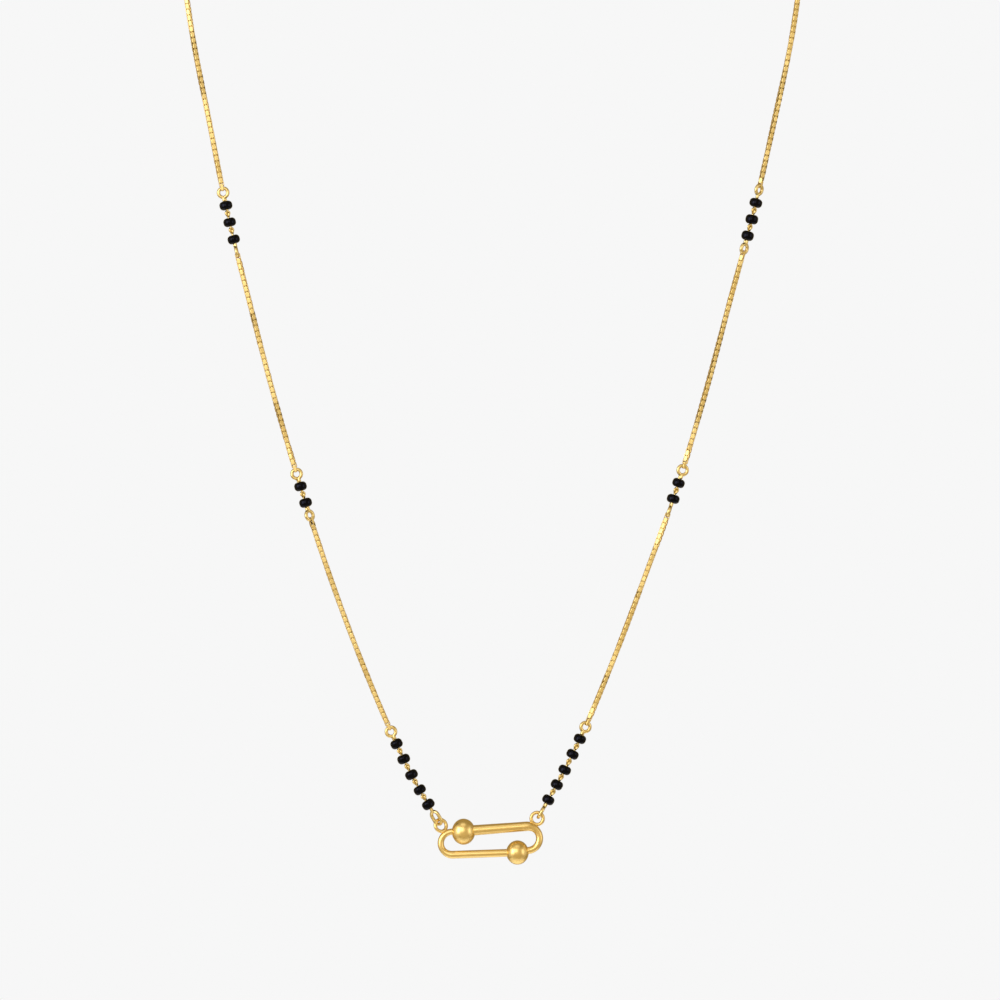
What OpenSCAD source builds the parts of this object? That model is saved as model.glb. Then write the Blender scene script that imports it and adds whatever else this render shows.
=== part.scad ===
// A mangalsutra: a necklace of fine gold box chain, broken by short strings of black glass beads on
// looped wire pins, with a pendant bent from round bar into a long closed link with two balls.
// Millimetres. +Z is up, +X is to the right of someone who faces the wearer, and +Y is to the back.
// The origin is the middle of the clasp, where the loop rests on the back of the neck.

/* [Chain] */
// Width of the box chain across its square links
chain_w = 0.9; // [0.85:0.01:1]
// Length of chain between the lower and the middle string of beads, eye to eye
lower_chain_l = 36.6; // [33:0.1:40]
// Length of chain between the middle and the upper string of beads, eye to eye
middle_chain_l = 36.4; // [33:0.1:40]
// Width of the link that turns through an eye at each end of a chain
end_link_w = 0.6; // [0.5:0.05:0.65]
// Wall of the link that turns through an eye
end_link_wall = 0.12; // [0.1:0.01:0.12]

/* [Black beads] */
// Diameter of a black bead
bead_d = 2.05; // [1.9:0.05:2.3]
// Length of a black bead along the wire
bead_l = 1.45; // [1.3:0.05:1.7]
// Diameter of the hole through a bead
bead_bore = 0.5; // [0.45:0.05:0.7]
// Radius of the round rims of a bead
bead_edge_r = 0.48; // [0.3:0.02:0.5]
// Beads on each of the two strings next to the pendant
lower_beads = 5; // [3:1:6]
// Beads on each of the two middle strings
middle_beads = 2; // [1:1:4]
// Beads on each of the two upper strings
upper_beads = 3; // [1:1:5]

/* [Wire pins] */
// Thickness of the wire through the beads
pin_wire_d = 0.22; // [0.2:0.01:0.26]
// Outer diameter of the eye at each end of a string
eye_d = 2; // [1.9:0.05:2.2]
// Thickness of the wire of an eye
eye_wire_d = 0.46; // [0.4:0.02:0.5]
// Distance from the end bead to the ring of an eye
eye_neck_l = 0.45; // [0.3:0.05:0.6]
// Thickness of an eye's neck where it meets the bead
eye_neck_d = 0.4; // [0.3:0.02:0.46]
// Extra length of the eye that holds the left ring of the pendant
left_eye_stretch = 0.8; // [0.2:0.05:1]
// Extra length of the eye that holds the right ring of the pendant
right_eye_stretch = 0.35; // [0.2:0.05:1]
// Turn of the loop below each bead, away from facing the front
loop_turn = 25; // [0:5:45]

/* [Pendant] */
// Distance between the middles of the two end bends
bend_span = 12.4; // [11.5:0.1:13.5]
// Height of the right bend's middle over the left one's
bend_rise = 0.8; // [0.5:0.1:1.1]
// Radius of the left bend, to the middle of the wire
left_bend_r = 1.9; // [1.7:0.05:2]
// Radius of the right bend, to the middle of the wire
right_bend_r = 2; // [1.8:0.05:2.1]
// Thickness of the wire in the left bend
left_bend_d = 1; // [0.9:0.05:1.1]
// Thickness of the wire in the right bend
right_bend_d = 1.1; // [1:0.05:1.2]
// Thickness of the upper bar where it leaves its ball
upper_bar_d = 1.5; // [1.4:0.05:1.7]
// Thickness of the upper bar where its taper to the right bend starts
upper_bar_end_d = 1.35; // [1.25:0.05:1.4]
// Thickness of the lower bar
lower_bar_d = 1.28; // [1.2:0.02:1.5]
// Length of the taper between a bar and a bend
taper_l = 1.6; // [1:0.1:2]
// Width of the upper ball
upper_ball_w = 3.5; // [3.2:0.05:3.7]
// Height of the upper ball
upper_ball_h = 4.3; // [3.8:0.05:4.4]
// Distance of the upper ball from the left bend's middle
upper_ball_at = 1.85; // [1.7:0.05:2.2]
// Depth of the upper ball's middle under the wire that enters it from the left
upper_ball_drop = 0.1; // [0:0.05:0.2]
// Height of the upper bar over the middle of its ball
upper_bar_lift = 0.25; // [0:0.05:0.4]
// Width of the lower ball
lower_ball_w = 3.6; // [3.3:0.05:3.65]
// Height of the lower ball
lower_ball_h = 4; // [3.7:0.05:4.2]
// Distance of the lower ball from the right bend's middle
lower_ball_at = 1.65; // [1.5:0.05:2]
// Depth of the lower ball under the lowest point of the right bend
lower_ball_drop = 0.43; // [0.3:0.01:0.6]
// Outer diameter of the two soldered rings
ring_d = 2.4; // [2.2:0.05:2.6]
// Thickness of the wire of the two rings
ring_wire_d = 0.53; // [0.46:0.01:0.56]
// Place of the left ring round its bend, in degrees from +X
left_ring_angle = 123; // [115:1:130]
// Place of the right ring round its bend, in degrees from +X
right_ring_angle = 63; // [55:1:70]
// Turn of the left ring, away from facing the front
left_ring_turn = 25; // [20:5:35]
// Depth to which a ring is sunk into its bend by the solder
solder_sink = 0.15; // [0.1:0.01:0.2]

/* [Clasp] */
// Diameter of the barrel clasp
clasp_d = 2.6; // [2.4:0.1:3.2]
// Length of the barrel of the clasp
clasp_l = 7; // [6:0.5:9]
// Radius of the barrel's round ends
clasp_edge_r = 0.6; // [0.4:0.05:0.6]

/* [Hidden] */
$fn = 48;

// Smallest gap between two pieces that are linked or threaded
gap = 0.125;
// Gap between an eye and the link that turns through it
turn_gap = 0.14;
// Distance of a small loop from the face of its bead
loop_lift = 0.065;
// Length of a chain's body that holds its end link
end_link_hold = 0.6;
// Share of a chain's width that is flat, between its cut corners
FLAT_SHARE = 0.6;
// Share of a wire's thickness that is left where it runs into its own ring
JOIN_SHARE = 0.9;
// Share of a bend's thickness that a bar has left where it ends, just inside the bend
BAR_END_SHARE = 0.95;
BAR_END_DEPTH = 0.15;

// Route of the chain's middle line, from the pendant's left ring over the nape to its right ring.
// The front hangs in one upright plane, and the rest goes round the neck to the origin.
FRONT_Y = -57;
ROUTE = [
    [-12.9, FRONT_Y, -153],
    [-16.7, FRONT_Y, -145],
    [-20.9, FRONT_Y, -135],
    [-26.5, FRONT_Y, -120],
    [-31.4, FRONT_Y, -105],
    [-35.8, FRONT_Y, -90],
    [-39.7, FRONT_Y, -75],
    [-43.4, FRONT_Y, -60],
    [-46.4, FRONT_Y, -45],
    [-49.3, FRONT_Y, -30],
    [-51, -56, -18],
    [-52, -50, -9],
    [-51.5, -38, -4],
    [-46, -23, -1.5],
    [-35, -10, -0.5],
    [-20, -2, 0],
    [20, -2, 0],
    [35, -10, -0.5],
    [46, -23, -1.5],
    [51.5, -38, -4],
    [52.3, -50, -9],
    [51.5, -56, -18],
    [49.9, FRONT_Y, -30],
    [46.8, FRONT_Y, -45],
    [43.4, FRONT_Y, -60],
    [39.4, FRONT_Y, -75],
    [35.4, FRONT_Y, -90],
    [30.9, FRONT_Y, -105],
    [25.5, FRONT_Y, -120],
    [19.8, FRONT_Y, -135],
    [15.6, FRONT_Y, -145],
    [11.7, FRONT_Y, -153]
];
// Route points on the left side
LEFT_COUNT = 16;
PENDANT_AT = [-0.1, FRONT_Y, -163.65];
// Parts that each stretch between two route points is divided into
ROUTE_STEPS = 6;
// Rings of a short chain's tube and of an upper chain's tube
SHORT_RINGS = 8;
LONG_RINGS = 24;

// Strings of beads: side, name, beads, turn of the lower eye and turn of the upper eye
SIDE = 0;
NAME = 1;
BEADS = 2;
LOW_TURN = 3;
HIGH_TURN = 4;
STRINGS = [
    ["left", "lower", lower_beads, -45, 0],
    ["left", "middle", middle_beads, 45, 0],
    ["left", "upper", upper_beads, 90, 0],
    ["right", "lower", lower_beads, 90, 15],
    ["right", "middle", middle_beads, 85, 10],
    ["right", "upper", upper_beads, 50, 50]
];

// Chains: side, name, the string below and the string above, by their places in STRINGS
BELOW = 2;
ABOVE = 3;
CHAINS = [
    ["left", "lower", 0, 1],
    ["left", "middle", 1, 2],
    ["left", "upper", 2, undef],
    ["right", "lower", 3, 4],
    ["right", "middle", 4, 5],
    ["right", "upper", 5, undef]
];

// Small loops and eyes
loop_d = 3 * pin_wire_d + 2 * gap;
bead_gap = 2 * (loop_d + loop_lift - pin_wire_d) - gap;
bead_pitch = bead_l + bead_gap;
eye_r = (eye_d - eye_wire_d) / 2;
eye_reach = eye_neck_l + eye_wire_d / 2 + 2 * eye_r;

// Pendant
ring_r = (ring_d - ring_wire_d) / 2;
left_bend_at = [-bend_span / 2, 0, -bend_rise / 2];
right_bend_at = [bend_span / 2, 0, bend_rise / 2];
left_ring_out = left_bend_r + left_bend_d / 2 + ring_d / 2 - solder_sink;
right_ring_out = right_bend_r + right_bend_d / 2 + ring_d / 2 - solder_sink;
upper_ball_c = left_bend_at + [upper_ball_at, 0, left_bend_r - upper_ball_drop];
lower_ball_c = right_bend_at - [lower_ball_at, 0, right_bend_r + lower_ball_drop];
left_ring_at = left_bend_at + left_ring_out * [cos(left_ring_angle), 0, sin(left_ring_angle)];
right_ring_at = right_bend_at + right_ring_out * [cos(right_ring_angle), 0, sin(right_ring_angle)];

// Clasp
clasp_eye_at = clasp_l / 2 + eye_d / 2 - solder_sink;
clasp_reach = clasp_eye_at + eye_r;

function unit(v) = v / norm(v);

// The end of the eye that a ring hangs on, pulled towards the first point of the route
hang_r = ring_r - ring_wire_d / 2 - eye_wire_d / 2 - gap;
function hang_point(ring_at, towards) =
    PENDANT_AT + ring_at + hang_r * unit(towards - PENDANT_AT - ring_at);

// Each side's own points, from the pendant up to its eye of the clasp
LEFT_POINTS = concat(
    [hang_point(left_ring_at, ROUTE[0])],
    [for (i = [0 : LEFT_COUNT - 1]) ROUTE[i]],
    [[-clasp_reach, 0, 0]]
);
RIGHT_POINTS = concat(
    [hang_point(right_ring_at, ROUTE[len(ROUTE) - 1])],
    [for (i = [len(ROUTE) - 1 : -1 : LEFT_COUNT]) ROUTE[i]],
    [[clasp_reach, 0, 0]]
);

// Direction of the curve at a point: from its two neighbours, and level where it meets the clasp
function heading(points, i) =
    i == 0 ? unit(points[1] - points[0]) :
    i == len(points) - 1 ? [points[i].x > points[i - 1].x ? 1 : -1, 0, 0] :
    let (before = points[i] - points[i - 1], after = points[i + 1] - points[i])
    unit(before * norm(after) / norm(before) + after * norm(before) / norm(after));

// Point on the smooth stretch between point i and the next
function between(points, i, t) =
    let (span = norm(points[i + 1] - points[i]))
    points[i] * (2 * t ^ 3 - 3 * t ^ 2 + 1)
    + heading(points, i) * span * (t ^ 3 - 2 * t ^ 2 + t)
    + points[i + 1] * (3 * t ^ 2 - 2 * t ^ 3)
    + heading(points, i + 1) * span * (t ^ 3 - t ^ 2);

function smooth_line(points) = concat(
    [for (i = [0 : len(points) - 2], k = [0 : ROUTE_STEPS - 1]) between(points, i, k / ROUTE_STEPS)],
    [points[len(points) - 1]]
);

// Distance of each point of a line from its start
function distances(line) = [
    for (i = 0, d = 0; i < len(line); d = d + (i + 1 < len(line) ? norm(line[i + 1] - line[i]) : 0), i = i + 1) d
];

// A strand: for X, Y and Z, the pairs of distance and coordinate along it
function strand(points) =
    let (line = smooth_line(points), d = distances(line))
    [for (axis = [0 : 2]) [for (i = [0 : len(line) - 1]) [d[i], line[i][axis]]]];

LEFT = strand(LEFT_POINTS);
RIGHT = strand(RIGHT_POINTS);

function strand_of(side) = side == "left" ? LEFT : RIGHT;
function strand_l(side) = let (pairs = strand_of(side)[0]) pairs[len(pairs) - 1][0];
function at(side, d) = [for (axis = [0 : 2]) lookup(d, strand_of(side)[axis])];
function along(side, d, reach = 0.5) = unit(at(side, d + reach) - at(side, d - reach));

// Places along a strand, measured from the end of the eye that the pendant hangs on
function stretch(string) =
    string[NAME] != "lower" ? 0 : string[SIDE] == "left" ? left_eye_stretch : right_eye_stretch;
function string_l(string) =
    2 * eye_reach + stretch(string) + (string[BEADS] - 1) * bead_pitch + bead_l;
function string_start(string) =
    string[NAME] == "lower" ? 0 :
    let (side_row = string[SIDE] == "left" ? 0 : 3)
    string[NAME] == "middle" ? string_l(STRINGS[side_row]) + lower_chain_l :
    string_start(STRINGS[side_row + 1]) + string_l(STRINGS[side_row + 1]) + middle_chain_l;
function bead_place(string, i) =
    string_start(string) + eye_reach + stretch(string) + bead_l / 2 + i * bead_pitch;

function bead_name(string, i) = str("bead_", string[SIDE], "_", string[NAME], "_", i + 1);
function pin_name(string, i) = str("pin_", string[SIDE], "_", string[NAME], "_", i + 1);
function chain_name(chain) = str("chain_", chain[SIDE], "_", chain[NAME]);

GOLD = "#dba63f";
BLACK = "#17161a";

// Puts a piece on a strand at a distance, with its own +Z up along the strand
module on_strand(side, d) {
    way = along(side, d);
    translate(at(side, d)) rotate([0, atan2(way.x, way.z), 0]) children();
}

// A ring of wire that faces the front, with its middle at the origin
module wire_ring(outer_d, wire_d) {
    rotate([90, 0, 0]) rotate_extrude() translate([(outer_d - wire_d) / 2, 0]) circle(d = wire_d);
}

module straight_wire(from, to, wire_d) {
    translate([0, 0, from]) cylinder(h = to - from, d = wire_d);
}

// Half of an eye's ring, the upper one
module half_eye() {
    rotate([90, 0, 0]) rotate_extrude(angle = 180) translate([eye_r, 0]) circle(d = eye_wire_d);
}

// An eye above a bead face at the origin: its neck, and its ring drawn out by extra
module eye(extra, turn) {
    ring_z = eye_neck_l + eye_d / 2;
    rotate([0, 0, turn]) union() {
        if (extra > 0) {
            translate([0, 0, ring_z + extra]) half_eye();
            translate([0, 0, ring_z]) rotate([0, 180, 0]) half_eye();
            for (side = [-1, 1]) translate([side * eye_r, 0, 0]) straight_wire(ring_z, ring_z + extra, eye_wire_d);
        } else {
            translate([0, 0, ring_z]) wire_ring(eye_d, eye_wire_d);
        }
        translate([0, 0, gap])
            cylinder(h = eye_neck_l + eye_wire_d / 2 - gap, d1 = eye_neck_d, d2 = JOIN_SHARE * eye_wire_d);
    }
}

// A small loop above a bead face at the origin
module small_loop(turn) {
    translate([0, 0, loop_lift + loop_d / 2]) rotate([0, 0, turn]) wire_ring(loop_d, pin_wire_d);
}

// The wire through one bead, with an eye at an end of the string and a small loop elsewhere
module pin(string, i) {
    bottom = i == 0;
    top = i == string[BEADS] - 1;
    stem_end = bead_l / 2 + loop_lift + pin_wire_d / 2;
    color(GOLD) on_strand(string[SIDE], bead_place(string, i)) union() {
        straight_wire(-stem_end, stem_end, JOIN_SHARE * pin_wire_d);
        translate([0, 0, bead_l / 2]) {
            if (top) eye(0, string[HIGH_TURN]);
            else small_loop(loop_turn + 90);
        }
        translate([0, 0, -bead_l / 2]) rotate([180, 0, 0]) {
            if (bottom) eye(stretch(string), -string[LOW_TURN]);
            else small_loop(-loop_turn);
        }
    }
}

// Half the section of a barrel with round rims, to the right of its axis
module barrel_section(d, l, edge_r) {
    edge_x = d / 2 - edge_r;
    edge_z = l / 2 - edge_r;
    translate([0, -l / 2]) square([edge_x, l]);
    translate([0, -edge_z]) square([d / 2, 2 * edge_z]);
    for (z = [-edge_z, edge_z]) translate([edge_x, z]) circle(r = edge_r);
}

module bead(string, i) {
    color(BLACK) on_strand(string[SIDE], bead_place(string, i)) rotate_extrude() difference() {
        barrel_section(bead_d, bead_l, bead_edge_r);
        translate([0, -bead_l]) square([bead_bore / 2, 2 * bead_l]);
    }
}

// Directions across the chain at each place, carried along without twist
function carried(side, places) = [
    for (
        i = 0, across = [0, 1, 0];
        i < len(places);
        i = i + 1,
        across = i < len(places)
            ? let (way = along(side, places[i])) unit(across - (across * way) * way)
            : across
    ) across
];

// The chain's body: a square tube with cut corners, swept along its strand
module chain_tube(side, from, to, rings) {
    places = [for (i = [0 : rings - 1]) from + (to - from) * i / (rings - 1)];
    across = carried(side, places);
    half = chain_w / 2;
    cut = half * FLAT_SHARE;
    outline = [
        [half, -cut], [half, cut], [cut, half], [-cut, half],
        [-half, cut], [-half, -cut], [-cut, -half], [cut, -half]
    ];
    points = [
        for (i = [0 : rings - 1])
            let (way = along(side, places[i]), other = cross(across[i], way))
            for (p = outline) at(side, places[i]) + other * p.x + across[i] * p.y
    ];
    sides = len(outline);
    faces = concat(
        [[for (k = [0 : sides - 1]) k]],
        [[for (k = [0 : sides - 1]) (rings - 1) * sides + sides - 1 - k]],
        [
            for (i = [0 : rings - 2], k = [0 : sides - 1])
                let (a = i * sides + k, b = i * sides + (k + 1) % sides)
                [a, a + sides, b + sides, b]
        ]
    );
    polyhedron(points, faces, convexity = 4);
}

// The link at a chain's end, above the wire of an eye whose middle line is at the origin
module end_link(turn) {
    hole_drop = eye_r - sqrt((eye_r - eye_wire_d / 2) ^ 2 - (end_link_w / 2) ^ 2) + turn_gap;
    inner_half = eye_wire_d / 2 + turn_gap;
    outer_half = inner_half + end_link_wall;
    rotate([0, 0, turn]) difference() {
        translate([-end_link_w / 2, -outer_half, -hole_drop - end_link_wall])
            cube([end_link_w, 2 * outer_half, hole_drop + end_link_wall + inner_half + end_link_hold]);
        translate([-end_link_w, -inner_half, -hole_drop])
            cube([2 * end_link_w, 2 * inner_half, hole_drop + inner_half]);
    }
}

// A chain from an eye at distance from to an eye at distance to, with the turns of both eyes
module chain_between(side, from, to, from_turn, to_turn, rings) {
    body_start = eye_wire_d / 2 + turn_gap + end_link_wall;
    color(GOLD) union() {
        chain_tube(side, from + body_start, to - body_start, rings);
        on_strand(side, from) end_link(from_turn);
        on_strand(side, to) rotate([180, 0, 0]) end_link(-to_turn);
    }
}

module chain(row) {
    side = row[SIDE];
    below = STRINGS[row[BELOW]];
    from = string_start(below) + string_l(below);
    if (row[ABOVE] == undef) chain_between(side, from, strand_l(side), below[HIGH_TURN], 0, LONG_RINGS);
    else {
        above = STRINGS[row[ABOVE]];
        chain_between(side, from, string_start(above), below[HIGH_TURN], above[LOW_TURN], SHORT_RINGS);
    }
}

// Angle of the line from a point that touches a circle, which lies to the right of the line at
// turn 1 and to its left at turn -1. All in the upright plane of the pendant.
function touch_angle(from, centre, r, turn) =
    let (way = centre - from) atan2(way.z, way.x) + turn * asin(r / norm(way));
function touch_point(from, centre, r, turn) =
    let (angle = touch_angle(from, centre, r, turn) + turn * 90)
    centre + r * [cos(angle), 0, sin(angle)];

// Puts a round bar on the line from one point to another, from its own origin up its +Z
module on_line(from, to) {
    way = to - from;
    translate(from) rotate([0, atan2(way.x, way.z), 0]) children();
}

// A bend of the pendant, between two angles
module bend(centre, r, wire_d, from_angle, to_angle) {
    translate(centre) rotate([90, 0, 0]) rotate([0, 0, from_angle])
        rotate_extrude(angle = to_angle - from_angle) translate([r, 0]) circle(d = wire_d);
}

// A bar from a ball to a bend, which thins towards its far end and tapers into the bend
module bar(from, to, d, end_d, bend_d) {
    full_l = norm(to - from);
    inside_l = full_l + BAR_END_DEPTH;
    on_line(from, to) rotate_extrude()
        polygon([
            [0, 0], [d / 2, 0], [end_d / 2, full_l - taper_l],
            [BAR_END_SHARE * bend_d / 2, inside_l], [0, inside_l]
        ]);
}

// The straight wire from a ball's middle to a bend
module ball_wire(from, to, bend_d) {
    on_line(from, to) cylinder(h = norm(to - from) + BAR_END_DEPTH, d = BAR_END_SHARE * bend_d);
}

// A ball drawn out upwards: the turned section is two circles and the straight stretch between them
module ball(centre, width, height) {
    half = (height - width) / 2;
    translate(centre) rotate_extrude() intersection() {
        union() {
            for (z = [-half, half]) translate([0, z]) circle(d = width);
            translate([-width / 2, -half]) square([width, 2 * half]);
        }
        translate([0, -height]) square([width, 2 * height]);
    }
}

module soldered_ring(centre, angle, out, turn) {
    translate(centre) rotate([0, -angle, 0]) translate([out, 0, 0]) rotate([turn, 0, 0])
        wire_ring(ring_d, ring_wire_d);
}

module pendant() {
    bar_start = upper_ball_c + [0, 0, upper_bar_lift];
    bar_end = touch_point(bar_start, right_bend_at, right_bend_r, 1);
    lower_end = touch_point(lower_ball_c, left_bend_at, left_bend_r, 1);
    left_wire_end = touch_point(upper_ball_c, left_bend_at, left_bend_r, -1);
    right_wire_end = touch_point(lower_ball_c, right_bend_at, right_bend_r, -1);
    left_from = touch_angle(upper_ball_c, left_bend_at, left_bend_r, -1) + 270;
    left_to = touch_angle(lower_ball_c, left_bend_at, left_bend_r, 1) + 90;
    right_from = touch_angle(lower_ball_c, right_bend_at, right_bend_r, -1) - 90;
    right_to = touch_angle(bar_start, right_bend_at, right_bend_r, 1) + 90;
    color(GOLD) translate(PENDANT_AT) union() {
        bar(bar_start, bar_end, upper_bar_d, upper_bar_end_d, right_bend_d);
        bar(lower_ball_c, lower_end, lower_bar_d, lower_bar_d, left_bend_d);
        ball_wire(upper_ball_c, left_wire_end, left_bend_d);
        ball_wire(lower_ball_c, right_wire_end, right_bend_d);
        bend(left_bend_at, left_bend_r, left_bend_d, left_from, left_to);
        bend(right_bend_at, right_bend_r, right_bend_d, right_from, right_to);
        ball(upper_ball_c, upper_ball_w, upper_ball_h);
        ball(lower_ball_c, lower_ball_w, lower_ball_h);
        soldered_ring(left_bend_at, left_ring_angle, left_ring_out, left_ring_turn);
        soldered_ring(right_bend_at, right_ring_angle, right_ring_out, 0);
    }
}

// A closed barrel with an eye soldered to each end
module clasp() {
    color(GOLD) union() {
        rotate([0, 90, 0]) rotate_extrude() barrel_section(clasp_d, clasp_l, clasp_edge_r);
        for (side = [-1, 1]) translate([side * clasp_eye_at, 0, 0]) wire_ring(eye_d, eye_wire_d);
    }
}

pendant();
clasp();
for (row = CHAINS) chain(row);
for (string = STRINGS, i = [0 : string[BEADS] - 1]) {
    bead(string, i);
    pin(string, i);
}
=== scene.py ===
# A mangalsutra: fine gold box chain, strings of black glass beads on looped wire pins, and a pendant
# bent from round gold bar. Pieces are modelled in millimetres and turned to metres when they are done.
import bisect
import math
import random

import bmesh
import bpy
from mathutils import Matrix, Vector


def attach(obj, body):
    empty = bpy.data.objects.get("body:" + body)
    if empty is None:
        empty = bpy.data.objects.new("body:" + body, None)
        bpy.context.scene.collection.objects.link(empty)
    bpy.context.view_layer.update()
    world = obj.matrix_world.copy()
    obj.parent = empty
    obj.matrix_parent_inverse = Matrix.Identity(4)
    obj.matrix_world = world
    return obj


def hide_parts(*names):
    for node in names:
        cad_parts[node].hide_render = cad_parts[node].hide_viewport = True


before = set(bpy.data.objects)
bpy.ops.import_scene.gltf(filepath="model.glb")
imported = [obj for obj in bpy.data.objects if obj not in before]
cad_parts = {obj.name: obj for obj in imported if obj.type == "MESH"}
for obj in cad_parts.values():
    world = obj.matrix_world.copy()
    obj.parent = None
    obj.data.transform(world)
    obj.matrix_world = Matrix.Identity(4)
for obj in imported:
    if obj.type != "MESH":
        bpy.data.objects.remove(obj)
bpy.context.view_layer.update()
bpy.ops.object.select_all(action="DESELECT")

# Sizes are in millimetres and turns in degrees, where nothing else is said
MM = 0.001
QUARTER = math.pi / 2

# How near a point is to a plane that it counts as on, and to the outside to count as skin. How much of a
# face's normal lies along an axis that it faces, and along one that it faces across
NEAR = 0.01
TOUCHING = 0.001
FACING = 0.9
ACROSS = 0.1

# Steps round the rounded end of a wire
ROUND_END = (25, 50, 72, 86)

# Chain: its square links, and the narrower link that turns through an eye at each end of a run
CHAIN_W = 0.85
LINK_L = 0.942
LINK_PITCH = 0.47
STRIP_W = 0.57
CORNER_STRIP_W = 0.25
CORNER_CUT = 0.19
RIM_CUT = 0.05
SIDE_T = 0.13
END_T = 0.225
EYE_LINK_W = 0.42
EYE_LINK_END_T = 0.13
EYE_LINK_DROP = 0.35
EYE_LINK_RISE = 0.54
EYE_TWIST_L = 1.5

# Black beads: their pitch on the string, the length that each takes up there, and its body
BEAD_PITCH = 2.835
BEAD_L = 1.45
BEAD_D = 2.1
BEAD_BODY_L = 1.47
BEAD_BORE = 0.5
BEAD_EDGE_R = 0.62
BORE_EDGE_R = 0.08
BEAD_SLIDE = 0.06
BEAD_TILT = 4
BEAD_LEAST = 0.97
BEAD_WIDEST = 1.02
BEAD_LONGEST = 1.06
GLASS_RIPPLE = 1.1
GLASS_RELIEF = 0.03

# Wire pins: the small loops between two beads, and the eye where a string ends
PIN_WIRE_D = 0.33
LOOP_D = 1.02
LOOP_LIFT = 0.045
LOOP_NECK_D = 0.6 * PIN_WIRE_D
LOOP_TURN = 30
EYE_D = 2.1
EYE_WIRE_D = 0.57
EYE_NECK_D = 0.5
EYE_REACH = 2.22
EYE_RING_Z = 1.45
RING_FROM = -107
RING_TO = -73
EYE_STEP = 12
LOOP_STEP = 20
NECK_STEPS = 5

# Pendant: two bends, two bars, two balls and the two soldered rings that it hangs from
BEND_SPAN = 12.4
BEND_RISE = 0.8
LEFT_BEND_AT = Vector((-BEND_SPAN / 2, 0, -BEND_RISE / 2))
RIGHT_BEND_AT = Vector((BEND_SPAN / 2, 0, BEND_RISE / 2))
LEFT_BEND_R = 1.9
RIGHT_BEND_R = 2.0
LEFT_BEND_D = 1.04
RIGHT_BEND_D = 1.16
UPPER_BAR_D = 1.72
UPPER_BAR_END_D = 1.56
UPPER_BAR_LIFT = 0.1
LOWER_BAR_D = 1.28
BEND_TAPER = 0.35
UPPER_BALL_AT = LEFT_BEND_AT + Vector((1.85, 0, LEFT_BEND_R))
UPPER_BALL_SIZE = (3.85, 3.5, 4.3)
LOWER_BALL_AT = RIGHT_BEND_AT - Vector((1.65, 0, RIGHT_BEND_R + 0.33))
LOWER_BALL_SIZE = (3.7, 3.58, 4.0)
RING_D = 2.55
RING_WIRE_D = 0.57
RING_SINK = 0.2
LEFT_RING_ANGLE = 123
RIGHT_RING_ANGLE = 64
LEFT_RING_TURN = 30
BAR_STEPS = 28

# Clasp
CLASP_D = 2.59
CLASP_L = 7.0
CLASP_EDGE_R = 0.6
CLASP_EYE_AT = 4.35
CLASP_REACH = 5.12

# Route of the chain's middle line, from the pendant's rings up to the nape
FRONT_Y = -57.0
LEFT_ROUTE = [
    (-12.9, FRONT_Y, -153), (-16.7, FRONT_Y, -145), (-20.9, FRONT_Y, -135), (-26.5, FRONT_Y, -120),
    (-31.4, FRONT_Y, -105), (-35.8, FRONT_Y, -90), (-39.7, FRONT_Y, -75), (-43.4, FRONT_Y, -60),
    (-46.4, FRONT_Y, -45), (-49.3, FRONT_Y, -30), (-51, -56, -18), (-52, -50, -9),
    (-51.5, -38, -4), (-46, -23, -1.5), (-35, -10, -0.5), (-20, -2, 0),
]
RIGHT_ROUTE = [
    (11.7, FRONT_Y, -153), (15.6, FRONT_Y, -145), (19.8, FRONT_Y, -135), (25.5, FRONT_Y, -120),
    (30.9, FRONT_Y, -105), (35.4, FRONT_Y, -90), (39.4, FRONT_Y, -75), (43.4, FRONT_Y, -60),
    (46.8, FRONT_Y, -45), (49.9, FRONT_Y, -30), (51.5, -56, -18), (52.3, -50, -9),
    (51.5, -38, -4), (46, -23, -1.5), (35, -10, -0.5), (20, -2, 0),
]
ROUTE_STEPS = 6
WAY_STEP = 0.5
PENDANT_AT = Vector((-0.1, FRONT_Y, -163.65))

# Where each strand starts: a solid ring's distance and angle from the middle of its bend, and how far
# from the ring's own middle the lowest eye hangs in it
LEFT_START = (3.45, 123)
RIGHT_START = (3.6, 63)
HANG_R = 0.315

# Beads in each string, and the length of chain from it to the next string above
STRING_BEADS = {"lower": 5, "middle": 2, "upper": 3}
CHAIN_TO_NEXT = {"lower": 36.6, "middle": 36.4}

# How much longer the lowest eye is, which holds the pendant's ring
LEFT_STRETCH = 0.8
RIGHT_STRETCH = 0.35

# Turns of the lower and the upper eye of the lower, the middle and the upper string
LEFT_EYE_TURNS = ((-45, 0), (45, 0), (90, 0))
RIGHT_EYE_TURNS = ((90, 15), (85, 10), (50, 50))

# Each run of chain, in millimetres up from its lower end: where its flat sides flash and where its slots
# stand open with deeper painted shade inside the links, as the middle and half the length of each stretch
RUN_LOOKS = {
    ("left", "lower"): ((), ((35.8, 1.0),)),
    ("left", "middle"): (((35.2, 1.6), (2.3, 2.0)), ((25.8, 1.3), (9.5, 2.2))),
    ("left", "upper"): (((30.6, 2.4),), ((24.3, 2.0), (17.3, 2.0))),
    ("right", "lower"): (((33.8, 2.8), (1.6, 1.3)), ((22.8, 0.4), (7.8, 1.1))),
    ("right", "middle"): (((1.3, 1.6),), ((19.0, 6.5), (10.0, 3.0))),
    ("right", "upper"): ((), ((2.6, 2.3), (13.0, 8.0))),
}

# Turns round the chain's own line: everywhere, in flashing and in open stretches, in a slow sway over so
# long a length, and each link's own play
CHAIN_LEAN = -3
FLASH_LEAN = {"left": 16, "right": 25}
OPEN_LEAN = -11
CHAIN_SWAY = 6
SWAY_L = 16.0
LINK_PLAY = 4
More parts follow.
